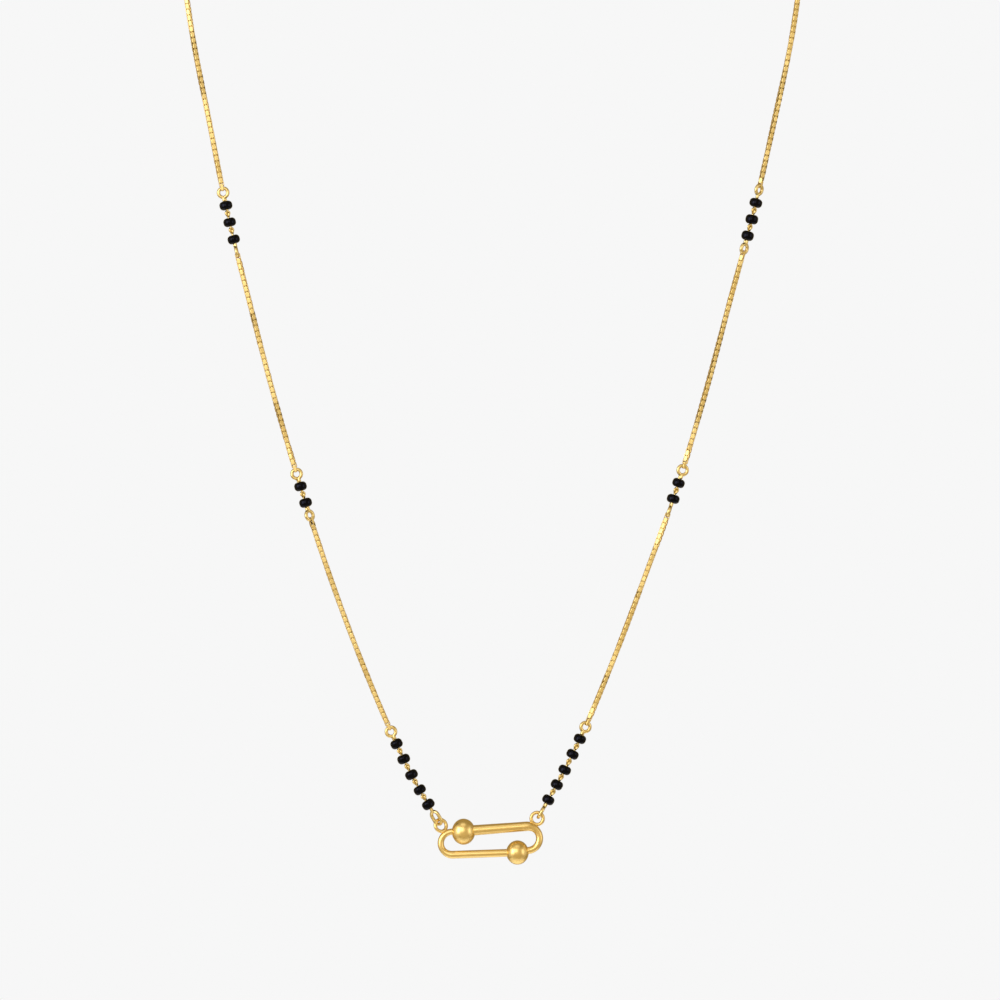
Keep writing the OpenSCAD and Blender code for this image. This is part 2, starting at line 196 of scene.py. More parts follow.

# How much of a link's own colour is kept under the painted shade, on its skin, at its sides' edges and
# inside, and the share of an open slot's painted shade that a closed slot shows
SKIN_UNSHADED = 1.0
EDGE_UNSHADED = 0.8
INNER_UNSHADED = 0.4
CLOSED_SLOT = 0.2


# Strings of beads

def string_length(beads, stretch):
    """Length of a string, from where one of its end eyes is held to where the other is."""
    return 2 * EYE_REACH + stretch + (beads - 1) * BEAD_PITCH + BEAD_L


def bead_middle(string, i):
    """Distance along the strand to the middle of one of a string's beads."""
    return string["start"] + EYE_REACH + string["stretch"] + BEAD_L / 2 + i * BEAD_PITCH


STRINGS = {}
for side, stretch, eye_turns in (
    ("left", LEFT_STRETCH, LEFT_EYE_TURNS),
    ("right", RIGHT_STRETCH, RIGHT_EYE_TURNS),
):
    start = 0.0
    for (name, beads), (low_turn, high_turn) in zip(STRING_BEADS.items(), eye_turns):
        extra = stretch if name == "lower" else 0.0
        length = string_length(beads, extra)
        STRINGS[side, name] = {
            "beads": beads, "start": start, "end": start + length, "stretch": extra,
            "low_turn": low_turn, "high_turn": high_turn,
        }
        start += length + CHAIN_TO_NEXT.get(name, 0.0)


# Strands: smooth lines through the routes' points

def curve_point(a, a_way, b, b_way, t):
    """The point at a share t of a smooth curve that leaves a along a_way and comes to b along b_way."""
    span = (b - a).length
    return (
        a * (2 * t**3 - 3 * t**2 + 1)
        + a_way * span * (t**3 - 2 * t**2 + t)
        + b * (3 * t**2 - 2 * t**3)
        + b_way * span * (t**3 - t**2)
    )


def on_circle(centre, radius, angle):
    """A point on an upright circle that faces the front."""
    return centre + radius * Vector((math.cos(angle), 0, math.sin(angle)))


def heading(points, i):
    """A strand's direction at one of its points. At its last point it runs level to the side."""
    if i == 0:
        return (points[1] - points[0]).normalized()
    if i == len(points) - 1:
        return Vector((math.copysign(1, points[i].x - points[i - 1].x), 0, 0))
    before = points[i] - points[i - 1]
    after = points[i + 1] - points[i]
    return (before * after.length / before.length + after * before.length / after.length).normalized()


def strand(points):
    """The smooth line through the points, and the distance along it to each of its own points."""
    ways = [heading(points, i) for i in range(len(points))]
    line = [
        curve_point(points[i], ways[i], points[i + 1], ways[i + 1], k / ROUTE_STEPS)
        for i in range(len(points) - 1)
        for k in range(ROUTE_STEPS)
    ]
    line.append(points[-1])
    distances = [0.0]
    for a, b in zip(line, line[1:]):
        distances.append(distances[-1] + (b - a).length)
    return line, distances


STRANDS = {}
for side, route, bend_at, (out, angle), sign in (
    ("left", LEFT_ROUTE, LEFT_BEND_AT, LEFT_START, -1),
    ("right", RIGHT_ROUTE, RIGHT_BEND_AT, RIGHT_START, 1),
):
    ring = on_circle(PENDANT_AT + bend_at, out, math.radians(angle))
    points = [Vector(p) for p in route]
    hang = ring + HANG_R * (points[0] - ring).normalized()
    STRANDS[side] = strand([hang, *points, Vector((sign * CLASP_REACH, 0, 0))])


def strand_length(side):
    return STRANDS[side][1][-1]


def point_along(side, distance):
    line, distances = STRANDS[side]
    distance = min(max(distance, 0.0), distances[-1])
    i = min(bisect.bisect_right(distances, distance), len(line) - 1) - 1
    return line[i].lerp(line[i + 1], (distance - distances[i]) / (distances[i + 1] - distances[i]))


def way_along(side, distance):
    return (point_along(side, distance + WAY_STEP) - point_along(side, distance - WAY_STEP)).normalized()


def place_along(side, distance):
    """Place on a strand, with its own +Z up along the strand and its own +Y to the back."""
    way = way_along(side, distance)
    turn = Matrix.Rotation(math.atan2(way.x, way.z), 4, "Y")
    return Matrix.Translation(point_along(side, distance)) @ turn


# Colours and materials

def srgb(text):
    """A colour's hex value as the linear red, green, blue and alpha that the nodes take."""
    parts = [int(text[i:i + 2], 16) / 255 for i in (1, 3, 5)]
    return (*[c / 12.92 if c <= 0.04045 else ((c + 0.055) / 1.055) ** 2.4 for c in parts], 1.0)


def add(tree, kind, inputs=None, **settings):
    """Adds a node with its settings. An input is a value, or the socket that feeds it."""
    node = tree.nodes.new(kind)
    for name, value in settings.items():
        setattr(node, name, value)
    for name, value in (inputs or {}).items():
        if isinstance(value, bpy.types.NodeSocket):
            tree.links.new(value, node.inputs[name])
        else:
            node.inputs[name].default_value = value
    return node


def new_material(name):
    material = bpy.data.materials.new(name)
    material.use_nodes = True
    material.node_tree.nodes.clear()
    return material


def gold(name, colours, roughness, grain_mm, relief_mm, painted_shade_colour=None, edge_colour="#FFFFFF"):
    """A gold whose tone and shine change a little from place to place. The marks of its polishing are too
    fine to show, so their grain is drawn coarser. The edge colour tints what shines at a glancing angle,
    and the dark colour is painted in as shade where the piece's attribute for painted shade is low."""
    material = new_material(name)
    tree = material.node_tree
    place = add(tree, "ShaderNodeTexCoord").outputs["Object"]
    grain = add(tree, "ShaderNodeTexNoise", {
        "Vector": place, "Scale": 1 / (grain_mm * MM), "Detail": 3.0, "Roughness": 0.6,
    })
    cloud_mm = 8 * grain_mm
    clouds = add(tree, "ShaderNodeTexNoise", {
        "Vector": place, "Scale": 1 / (cloud_mm * MM), "Detail": 2.0, "Roughness": 0.5,
    })
    tone = add(tree, "ShaderNodeMix", {
        0: clouds.outputs["Fac"], 6: srgb(colours[0]), 7: srgb(colours[1]),
    }, data_type="RGBA").outputs[2]
    # Painted shade: the dark colour is mixed into the tone where the attribute is low, inside the chain's
    # links
    if painted_shade_colour:
        polish = add(tree, "ShaderNodeAttribute", attribute_name="polish").outputs["Fac"]
        tone = add(tree, "ShaderNodeMix", {
            0: polish, 6: srgb(painted_shade_colour), 7: tone,
        }, data_type="RGBA").outputs[2]
    shine = add(tree, "ShaderNodeMapRange", {
        "Value": grain.outputs["Fac"], "From Min": 0.3, "From Max": 0.7,
        "To Min": roughness[0], "To Max": roughness[1],
    })
    relief = add(tree, "ShaderNodeBump", {
        "Height": grain.outputs["Fac"], "Strength": 1.0, "Distance": relief_mm * MM,
    })
    shader = add(tree, "ShaderNodeBsdfPrincipled", {
        "Base Color": tone,
        "Roughness": shine.outputs["Result"],
        "Normal": relief.outputs["Normal"],
        "Metallic": 1.0,
        "Specular Tint": srgb(edge_colour),
    })
    add(tree, "ShaderNodeOutputMaterial", {"Surface": shader.outputs["BSDF"]})
    return material


# Yellow gold, bent strip tumbled bright: each flat side flashes, and the slots and insides of the links get
# painted shade
CHAIN_GOLD = gold(
    "tumbled_gold_chain", ("#F5E1A2", "#EFD28A"), (0.34, 0.44), 0.8, 0.0004,
    painted_shade_colour="#1C0B00", edge_colour="#D8A858",
)
# Yellow gold, drawn wire polished after bending: clear narrow highlights along the wire
WIRE_GOLD = gold("polished_gold_wire", ("#F4E1A6", "#ECD18C"), (0.25, 0.33), 0.8, 0.0004)
# Yellow gold, round bar bent, soldered and satin polished: soft broad highlights with a fine, even haze
PENDANT_GOLD = gold("satin_polished_gold", ("#F6DD9A", "#F1D086"), (0.28, 0.34), 1.2, 0.0004)
# Yellow gold, turned and polished, rubbed a little dull by the skin: highlights of uneven sharpness
CLASP_GOLD = gold("turned_gold", ("#F6D68E", "#EEC678"), (0.22, 0.34), 0.6, 0.001)


def black_glass():
    """Fire-polished black glass: near black, glossy, with a slightly uneven skin."""
    material = new_material("fire_polished_black_glass")
    tree = material.node_tree
    place = add(tree, "ShaderNodeTexCoord").outputs["Object"]
    skin = add(tree, "ShaderNodeTexNoise", {
        "Vector": place, "Scale": 1 / (GLASS_RIPPLE * MM), "Detail": 2.0, "Roughness": 0.5,
    })
    shine = add(tree, "ShaderNodeMapRange", {
        "Value": skin.outputs["Fac"], "From Min": 0.3, "From Max": 0.7, "To Min": 0.04, "To Max": 0.09,
    })
    relief = add(tree, "ShaderNodeBump", {
        "Height": skin.outputs["Fac"], "Strength": 1.0, "Distance": GLASS_RELIEF * MM,
    })
    shader = add(tree, "ShaderNodeBsdfPrincipled", {
        "Base Color": srgb("#020203"),
        "Roughness": shine.outputs["Result"],
        "Normal": relief.outputs["Normal"],
        "IOR": 1.52,
        "Specular IOR Level": 0.15,
        "Specular Tint": srgb("#CCD0FF"),
    })
    add(tree, "ShaderNodeOutputMaterial", {"Surface": shader.outputs["BSDF"]})
    return material


BLACK_GLASS = black_glass()


# Making and finishing pieces

def only(piece):
    """Makes one object the active and only selected one."""
    bpy.ops.object.select_all(action="DESELECT")
    piece.select_set(True)
    bpy.context.view_layer.objects.active = piece


def edit(piece, mode, picks):
    """Opens a piece in edit mode with just the faces, edges or points that picks(it) chooses."""
    only(piece)
    bpy.ops.object.mode_set(mode="EDIT")
    bpy.ops.mesh.select_mode(type=mode)
    bpy.ops.mesh.select_all(action="DESELECT")
    mesh = bmesh.from_edit_mesh(piece.data)
    items = {"VERT": mesh.verts, "EDGE": mesh.edges, "FACE": mesh.faces}[mode]
    for item in items:
        if picks(item):
            item.select_set(True)
    mesh.select_flush_mode()
    bmesh.update_edit_mesh(piece.data)


def leave_edit():
    bpy.ops.object.mode_set(mode="OBJECT")


def placed(piece, matrix):
    """A copy of a piece with its own mesh, and its place in the mesh."""
    copy = piece.copy()
    copy.data = piece.data.copy()
    copy.data.transform(matrix)
    bpy.context.scene.collection.objects.link(copy)
    return copy


def joined(pieces):
    """Several loose parts joined as one piece."""
    bpy.ops.object.select_all(action="DESELECT")
    for piece in pieces:
        piece.select_set(True)
    bpy.context.view_layer.objects.active = pieces[0]
    bpy.ops.object.join()
    return pieces[0]


def discard(*pieces):
    for piece in pieces:
        bpy.data.objects.remove(piece)


def united(body, parts):
    """A body made one solid with the other parts."""
    for part in parts:
        only(body)
        union = body.modifiers.new("union", "BOOLEAN")
        union.operation = "UNION"
        union.solver = "EXACT"
        union.object = part
        bpy.ops.object.modifier_apply(modifier=union.name)
    discard(*parts)
    return body


def smooth(piece, angle):
    """Shades a piece smooth, apart from edges that turn more than the angle."""
    only(piece)
    bpy.ops.object.shade_smooth_by_angle(angle=math.radians(angle))
    return piece


def finish_piece(piece, name, body, node, material):
    """Names a piece, turns it to metres, and gives it its material, its body and the node it stands for."""
    piece.name = name
    piece.data.name = name
    piece.data.transform(Matrix.Scale(MM, 4))
    piece.data.materials.clear()
    piece.data.materials.append(material)
    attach(piece, body)
    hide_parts(node)


def with_round_ends(path, thicknesses):
    """A path and its thicknesses with a few more places at each end, where the wire is rounded off."""
    ends = []
    for tip, before, thickness in (
        (path[0], path[1], thicknesses[0]),
        (path[-1], path[-2], thicknesses[-1]),
    ):
        out = (tip - before).normalized()
        ends.append([
            (tip + out * thickness / 2 * math.sin(math.radians(a)), thickness * math.cos(math.radians(a)))
            for a in ROUND_END
        ])
    start = list(reversed(ends[0]))
    places = [p for p, _ in start] + list(path) + [p for p, _ in ends[1]]
    sizes = [t for _, t in start] + list(thicknesses) + [t for _, t in ends[1]]
    return places, sizes


def wire(path, thicknesses, sides, closed=False):
    """Round wire swept along a path, with round ends unless it is closed."""
    if not closed:
        path, thicknesses = with_round_ends(path, thicknesses)
    curve = bpy.data.curves.new("wire", "CURVE")
    curve.dimensions = "3D"
    curve.bevel_depth = 0.5
    curve.bevel_resolution = (sides - 4) // 2
    curve.use_fill_caps = True
    spline = curve.splines.new("POLY")
    spline.points.add(len(path) - 1)
    for point, place, thickness in zip(spline.points, path, thicknesses):
        point.co = (*place, 1.0)
        point.radius = thickness
    spline.use_cyclic_u = closed
    piece = bpy.data.objects.new("wire", curve)
    bpy.context.scene.collection.objects.link(piece)
    only(piece)
    bpy.ops.object.convert(target="MESH")
    return bpy.context.view_layer.objects.active


def wire_ring(ring_d, wire_d, sides, place):
    """A closed ring of round wire that faces the front before it is placed."""
    bpy.ops.mesh.primitive_torus_add(
        major_segments=48, minor_segments=sides,
        major_radius=(ring_d - wire_d) / 2, minor_radius=wire_d / 2,
    )
    ring = bpy.context.view_layer.objects.active
    ring.data.transform(place @ Matrix.Rotation(QUARTER, 4, "X"))
    return ring


# Box chain

def on_skin(v, half_l):
    """Whether a link's point is on the outside of the square ring."""
    return abs(v.co.x) > CHAIN_W / 2 - TOUCHING or abs(v.co.z) > half_l - TOUCHING


# Paints shade into a link's insides and slots; the polished outer skin keeps its own colour
def polished(link, half_l, end_t):
    """A link with its painted shade, kept as how much of its own colour shows: all of it on the outer skin
    and on the narrow corners, less at the sides' edges, and none deep inside, which is painted darkest."""
    corner_band = CORNER_STRIP_W / 2 - 0.6 * RIM_CUT
    polish = link.data.attributes.new("polish", "FLOAT", "POINT")
    for vertex, value in zip(link.data.vertices, polish.data):
        place = vertex.co
        if on_skin(vertex, half_l) or abs(place.y) < corner_band:
            value.value = SKIN_UNSHADED
        elif abs(place.x) > CHAIN_W / 2 - RIM_CUT - NEAR:
            value.value = EDGE_UNSHADED
        elif abs(place.z) < half_l - end_t + NEAR:
            value.value = INNER_UNSHADED
    return link


def chain_link(length, strip_w, top_t, low_t):
    """One link of box chain: flat strip bent to a square ring that stands up along Z."""
    half_w, half_l = CHAIN_W / 2, length / 2

    def at_corner(v):
        return abs(abs(v.co.x) - half_w) < NEAR and abs(abs(v.co.z) - half_l) < NEAR

    def across_corner(e):
        return all(at_corner(v) for v in e.verts) and e.verts[0].co.y * e.verts[1].co.y < 0

    def by_corner(v):
        return abs(v.co.x) > half_w - 0.7 * SIDE_T and not on_skin(v, half_l)

    def on_rim(e):
        same_side = e.verts[0].co.y * e.verts[1].co.y > 0
        return same_side and len(e.link_faces) == 2 and any(
            abs(f.normal.y) < ACROSS and f.normal.dot(f.calc_center_median()) > 0 for f in e.link_faces
        )

    # The square ring, with its ends then made thicker than its sides
    bpy.ops.mesh.primitive_cube_add(size=1)
    link = bpy.context.view_layer.objects.active
    link.data.transform(Matrix.Diagonal((CHAIN_W, strip_w, length, 1)))
    edit(link, "FACE", lambda f: abs(f.normal.y) > FACING)
    bpy.ops.mesh.inset(thickness=SIDE_T, use_individual=True)
    bpy.ops.mesh.bridge_edge_loops()
    leave_edit()
    for sign, wall in ((1, top_t), (-1, low_t)):
        edit(link, "VERT", lambda v: abs(v.co.x) < half_w - NEAR and sign * v.co.z > 0)
        bpy.ops.transform.translate(value=(0, 0, sign * (SIDE_T - wall)))
        leave_edit()

    # Corners cut off and narrowed, as the strip draws in where it is bent, and all outer rims eased
    edit(link, "EDGE", across_corner)
    bpy.ops.mesh.bevel(offset=CORNER_CUT, segments=2, profile=0.8, affect="EDGES")
    leave_edit()
    edit(link, "VERT", by_corner)
    bpy.ops.transform.resize(value=(1, CORNER_STRIP_W / strip_w, 1), center_override=(0, 0, 0))
    leave_edit()
    edit(link, "EDGE", on_rim)
    bpy.ops.mesh.bevel(offset=RIM_CUT, segments=1, affect="EDGES")
    leave_edit()
    # With painted shade inside the link
    return polished(link, half_l, max(top_t, low_t))


def chain_eye_link():
    """The narrow link that turns through an eye. Its origin is in the top of the eye."""
    length = EYE_LINK_DROP + EYE_LINK_RISE + EYE_LINK_END_T + END_T
    middle = (EYE_LINK_RISE + END_T - EYE_LINK_DROP - EYE_LINK_END_T) / 2
    link = chain_link(length, EYE_LINK_W, END_T, EYE_LINK_END_T)
    link.data.transform(Matrix.Translation((0, 0, middle)))
    return link


def carried_frames(side, places):
    """The strand's way at each place, and a direction across it that is carried along untwisted."""
    frames = []
    across = Vector((0, 1, 0))
    for place in places:
        way = way_along(side, place)
        across = (across - across.dot(way) * way).normalized()
        frames.append((way, across))
    return frames


def eye_angle(side, place, turn, way, across):
    """Angle of an eye's axis round the chain, in radians from the carried direction."""
    turn = math.radians(turn)
    axis = place_along(side, place).to_3x3() @ Vector((-math.sin(turn), math.cos(turn), 0))
    return math.atan2(axis.dot(across.cross(way)), axis.dot(across))


def fitted_links(side, start, end, start_turn, end_turn):
    """Places and frames of a run's links, the angle that they are squared to, and how far its first and
    last links turn from that to meet their eyes, in radians. Of two numbers of links it takes the one
    whose last link turns less."""
    first = start + EYE_LINK_RISE + LINK_L / 2 - END_T
    last = end - EYE_LINK_RISE - LINK_L / 2 + END_T
    most = round((last - first) / LINK_PITCH)
    for steps in (most, most - 1):
        places = [start] + [first + (last - first) * k / steps for k in range(steps + 1)] + [end]
        frames = carried_frames(side, places)
        from_angle = eye_angle(side, start, start_turn, *frames[0])
        to_angle = eye_angle(side, end, end_turn, *frames[-1])
        squared = QUARTER * round(from_angle / QUARTER)
        end_twist = (to_angle - squared - QUARTER * (len(places) - 1) + QUARTER) % math.pi - QUARTER
        if abs(end_twist) <= QUARTER / 2:
            break
    return places, frames, squared, from_angle - squared, end_twist


def share_of(stretches, distance):
    """1 in the stretches, falling to 0 beyond their ends."""
    return max([0.0] + [math.exp(-(((distance - middle) / half) ** 4)) for middle, half in stretches])


def chain(side, start, end, start_turn, end_turn, look, seed):
    """Links from the eye at start to the eye at end. Each is a quarter turn from the last. The chain is
    twisted a little, so that it flashes in some stretches and shows slots with deeper painted shade in
    others."""
    chance = random.Random(seed)
    flashes, slots = look
    places, frames, squared, start_twist, end_twist = fitted_links(side, start, end, start_turn, end_turn)
    links = []
    for k, (place, (way, across)) in enumerate(zip(places, frames)):
        from_start = max(0.0, 1 - (place - start) / EYE_TWIST_L)
        from_end = max(0.0, 1 - (end - place) / EYE_TWIST_L)
        freedom = 1 - max(from_start, from_end)
        flash, slot = share_of(flashes, place - start), share_of(slots, place - start)
        sway = CHAIN_SWAY * math.sin(2 * math.pi * (place - start) / SWAY_L + seed) * (1 - flash)
        lean = CHAIN_LEAN + FLASH_LEAN[side] * flash + OPEN_LEAN * slot
        angle = squared + QUARTER * k + start_twist * from_start + end_twist * from_end
        angle += math.radians(lean + sway + chance.uniform(-LINK_PLAY, LINK_PLAY)) * freedom
        wide = Matrix.Rotation(-angle, 3, way) @ across
        turned = Matrix((wide, way.cross(wide), way)).transposed().to_4x4()
        shape = EYE_LINK if k in (0, len(places) - 1) else LINK
        if k == len(places) - 1:
            turned = turned @ Matrix.Rotation(math.pi, 4, "X")
        link = placed(shape, Matrix.Translation(point_along(side, place)) @ turned)
        # Painted shade inside the link, deeper where its slots stand open
        for value in link.data.attributes["polish"].data:
            value.value = 1 - (1 - value.value) * (CLOSED_SLOT + (1 - CLOSED_SLOT) * slot)
        links.append(link)
    return joined(links)


LINK = chain_link(LINK_L, STRIP_W, END_T, END_T)
EYE_LINK = chain_eye_link()
for seed, ((side, name), look) in enumerate(RUN_LOOKS.items(), 1):
    string = STRINGS[side, name]
    if name == "upper":
        end, end_turn = strand_length(side), 0
    else:
        above = STRINGS[side, {"lower": "middle", "middle": "upper"}[name]]
        end, end_turn = above["start"], above["low_turn"]
    run = chain(side, string["end"], end, string["high_turn"], end_turn, look, seed)
    which = f"{side}_{name}"
    finish_piece(run, f"box_chain_{which}", "necklace", f"chain_{which}", CHAIN_GOLD)
discard(LINK, EYE_LINK)


# Black glass beads

def barrel_bead():
    """A bead turned round its bore, with full round rims and a short straight side between them."""
    bpy.ops.mesh.primitive_cylinder_add(vertices=48, radius=BEAD_D / 2, depth=BEAD_BODY_L)
    bead = bpy.context.view_layer.objects.active

    def round_edge(e):
        return abs(e.verts[0].co.z - e.verts[1].co.z) < NEAR

    edit(bead, "FACE", lambda f: abs(f.normal.z) > FACING)
    bpy.ops.mesh.inset(thickness=(BEAD_D - BEAD_BORE) / 2, use_individual=True)
    bpy.ops.mesh.bridge_edge_loops()
    leave_edit()
    edit(bead, "EDGE", lambda e: all(v.co.xy.length > 0.9 * BEAD_D / 2 for v in e.verts) and round_edge(e))
    bpy.ops.mesh.bevel(offset=BEAD_EDGE_R, segments=8, affect="EDGES")
    leave_edit()
    edit(bead, "EDGE", lambda e: all(v.co.xy.length < 0.6 * BEAD_BORE for v in e.verts) and round_edge(e))
    bpy.ops.mesh.bevel(offset=BORE_EDGE_R, segments=3, affect="EDGES")
    leave_edit()
    return smooth(bead, 40)


BEAD = barrel_bead()
for (side, name), string in STRINGS.items():
    for i in range(string["beads"]):
        chance = random.Random(f"{side} {name} {i}")
        slide = chance.uniform(-BEAD_SLIDE, BEAD_SLIDE)
        place = place_along(side, bead_middle(string, i) + slide)
        nod = Matrix.Rotation(math.radians(chance.uniform(-BEAD_TILT, BEAD_TILT)), 4, "X")
        tilt = Matrix.Rotation(math.radians(chance.uniform(-BEAD_TILT, BEAD_TILT)), 4, "Y") @ nod
        size = [chance.uniform(BEAD_LEAST, most) for most in (BEAD_WIDEST, BEAD_WIDEST, BEAD_LONGEST)]
        bead = placed(BEAD, place @ tilt @ Matrix.Diagonal((*size, 1)))
        which = f"{side}_{name}_{i + 1}"
        finish_piece(bead, f"glass_bead_{which}", "necklace", f"bead_{which}", BLACK_GLASS)
discard(BEAD)


# Wire pins

def loop_path(ring_z, ring_r, neck_d, stretch, step):
    """From the face of a bead up its neck, round a ring, and down again. The wire leaves the bead a little
    to one side and its end comes back to the other, so that it lies beside the neck. The upper half of
    the ring is lifted by the stretch."""
    start, stop = math.radians(RING_FROM), math.radians(RING_TO)
    base = Vector((-0.2 * neck_d, 0.15 * neck_d, 0))
    foot = Vector((-0.2 * neck_d, 0.15 * neck_d, (ring_z - ring_r) * 0.52))
    tail = Vector((0.26 * neck_d, -0.18 * neck_d, (ring_z - ring_r) * 0.25))
    up = Vector((0, 0, 1))

    def on_ring(angle):
        lift = stretch if math.sin(angle) > 0 else 0.0
        return Vector((ring_r * math.cos(angle), 0, ring_z + lift + ring_r * math.sin(angle)))

    def round_way(angle):
        return Vector((math.sin(angle), 0, -math.cos(angle)))

    count = round((2 * math.pi + start - stop) / math.radians(step))
    points = [base]
    necks = [k / NECK_STEPS for k in range(NECK_STEPS)]
    points += [curve_point(foot, up, on_ring(start), round_way(start), t) for t in necks]
    points += [on_ring(start - (2 * math.pi + start - stop) * k / count) for k in range(count)]
    points += [curve_point(on_ring(stop), round_way(stop), tail, -up, t) for t in necks]
    points.append(tail)
    return points


def eye_thicknesses(count):
    """A little thinner at the bead and where its end lies by the neck, and full in the ring."""
    last = NECK_STEPS - 1
    grown = [EYE_NECK_D + (EYE_WIRE_D - EYE_NECK_D) * k / last for k in range(NECK_STEPS)]
    full = [EYE_WIRE_D] * (count - 1 - 2 * NECK_STEPS)
    return [EYE_NECK_D] + grown + full + list(reversed(grown))


def pin_end(kind, stretch):
    """Path and thicknesses of the eye or the small loop at one end of a pin."""
    if kind == "eye":
        path = loop_path(EYE_RING_Z, (EYE_D - EYE_WIRE_D) / 2, EYE_NECK_D, stretch, EYE_STEP)
        return path, eye_thicknesses(len(path))
    ring_z, ring_r = LOOP_LIFT + LOOP_D / 2, (LOOP_D - PIN_WIRE_D) / 2
    path = loop_path(ring_z, ring_r, LOOP_NECK_D, stretch, LOOP_STEP)
    return path, [PIN_WIRE_D] * len(path)


def pin(place, low, high, hand):
    """One wire: the loop or eye under the bead, the stem through it, and the loop or eye over it. Each end
    is given as its kind, turn and stretch. The hand, 1 or -1, is the side that the wire is wound to."""
    low_kind, low_turn, low_stretch = low
    high_kind, high_turn, high_stretch = high
    low_path, low_sizes = pin_end(low_kind, low_stretch)
    high_path, high_sizes = pin_end(high_kind, high_stretch)
    mirror = Matrix.Diagonal((hand, 1, 1, 1))
    under = Matrix.Translation((0, 0, -BEAD_L / 2)) @ Matrix.Rotation(math.pi, 4, "X")
    under = under @ Matrix.Rotation(-math.radians(low_turn), 4, "Z") @ mirror
    over = Matrix.Translation((0, 0, BEAD_L / 2))
    over = over @ Matrix.Rotation(math.radians(high_turn), 4, "Z") @ mirror
    points = [place @ under @ p for p in reversed(low_path)] + [place @ over @ p for p in high_path]
    return wire(points, list(reversed(low_sizes)) + high_sizes, sides=16)


for (side, name), string in STRINGS.items():
    for i in range(string["beads"]):
        chance = random.Random(f"pin {side} {name} {i}")
        low = ("loop", LOOP_TURN, 0.0)
        high = ("loop", LOOP_TURN + 90, 0.0)
        if i == 0:
            low = ("eye", string["low_turn"], string["stretch"])
        if i == string["beads"] - 1:
            high = ("eye", string["high_turn"], 0.0)
        place = place_along(side, bead_middle(string, i))
        piece = smooth(pin(place, low, high, chance.choice((-1, 1))), 60)
        which = f"{side}_{name}_{i + 1}"
        finish_piece(piece, f"wire_pin_{which}", "necklace", f"pin_{which}", WIRE_GOLD)


# Pendant

def touch_angle(start, centre, radius, hand):
    """Direction of a straight bar out of start that touches a bend, in radians. The hand, 1 or -1, is the
    side of the bend that it touches."""
    way = centre - start
    return math.atan2(way.z, way.x) + hand * math.asin(radius / way.length)


def touch_point(start, centre, radius, hand):
    return on_circle(centre, radius, touch_angle(start, centre, radius, hand) + hand * QUARTER)


def bend(centre, radius, bar_from, bar_to):
    """Points round a bend, from where the bar out of bar_from touches it to where it leaves for bar_to."""
    stop = touch_angle(bar_to, centre, radius, -1) - QUARTER
    start = touch_angle(bar_from, centre, radius, 1) + QUARTER
    start = stop + (start - stop) % (2 * math.pi)
    angles = [start + (stop - start) * k / BAR_STEPS for k in range(BAR_STEPS + 1)]
    return [on_circle(centre, radius, angle) for angle in angles]


def tapered(start_d, end_d, share):
    """Thicknesses that go smoothly from the start's to the end's over the first share of a length."""
    steps = [min(1.0, k / BAR_STEPS / share) for k in range(BAR_STEPS + 1)]
    return [start_d + (end_d - start_d) * t * t * (3 - 2 * t) for t in steps]


def closed_link():
    """The pendant's bar in one sweep: upper bar, right bend, lower bar and left bend."""
    bar_start = UPPER_BALL_AT + Vector((0, 0, UPPER_BAR_LIFT))
    bar_end = touch_point(bar_start, RIGHT_BEND_AT, RIGHT_BEND_R, 1)
    lower_end = touch_point(LOWER_BALL_AT, LEFT_BEND_AT, LEFT_BEND_R, 1)
    points = [bar_start.lerp(bar_end, k / BAR_STEPS) for k in range(BAR_STEPS)]
    points += bend(RIGHT_BEND_AT, RIGHT_BEND_R, bar_start, LOWER_BALL_AT)
    points += [LOWER_BALL_AT.lerp(lower_end, k / BAR_STEPS) for k in range(BAR_STEPS)]
    points += bend(LEFT_BEND_AT, LEFT_BEND_R, LOWER_BALL_AT, UPPER_BALL_AT)
    points.append(UPPER_BALL_AT)
    sizes = tapered(UPPER_BAR_D, UPPER_BAR_END_D, 1.0)[:-1]
    sizes += tapered(UPPER_BAR_END_D, RIGHT_BEND_D, BEND_TAPER)
    sizes += [LOWER_BAR_D] * BAR_STEPS
    sizes += tapered(LOWER_BAR_D, LEFT_BEND_D, BEND_TAPER)
    sizes.append(LEFT_BEND_D)
    return wire([PENDANT_AT + p for p in points], sizes, sides=32, closed=True)


def ball(ball_at, size):
    """One of the pendant's balls, drawn out to its own width, depth and height."""
    bpy.ops.mesh.primitive_uv_sphere_add(segments=64, ring_count=40, radius=0.5)
    shape = bpy.context.view_layer.objects.active
    shape.data.transform(Matrix.Translation(PENDANT_AT + ball_at) @ Matrix.Diagonal((*size, 1)))
    return shape


def soldered_ring(bend_at, bend_r, bend_d, angle, turn):
    """A hanging ring that sits on the outside of a bend, a little sunk in its solder."""
    out = bend_r + bend_d / 2 + RING_D / 2 - RING_SINK
    place = Matrix.Translation(PENDANT_AT + bend_at) @ Matrix.Rotation(math.radians(-angle), 4, "Y")
    turned = place @ Matrix.Translation((out, 0, 0)) @ Matrix.Rotation(math.radians(turn), 4, "X")
    return wire_ring(RING_D, RING_WIRE_D, 20, turned)


def bent_bar_pendant():
    """The closed link with its balls and rings, as one soldered solid."""
    return smooth(united(closed_link(), [
        ball(UPPER_BALL_AT, UPPER_BALL_SIZE),
        ball(LOWER_BALL_AT, LOWER_BALL_SIZE),
        soldered_ring(LEFT_BEND_AT, LEFT_BEND_R, LEFT_BEND_D, LEFT_RING_ANGLE, LEFT_RING_TURN),
        soldered_ring(RIGHT_BEND_AT, RIGHT_BEND_R, RIGHT_BEND_D, RIGHT_RING_ANGLE, 0),
    ]), 35)


finish_piece(bent_bar_pendant(), "gold_pendant", "pendant", "pendant", PENDANT_GOLD)


# Clasp

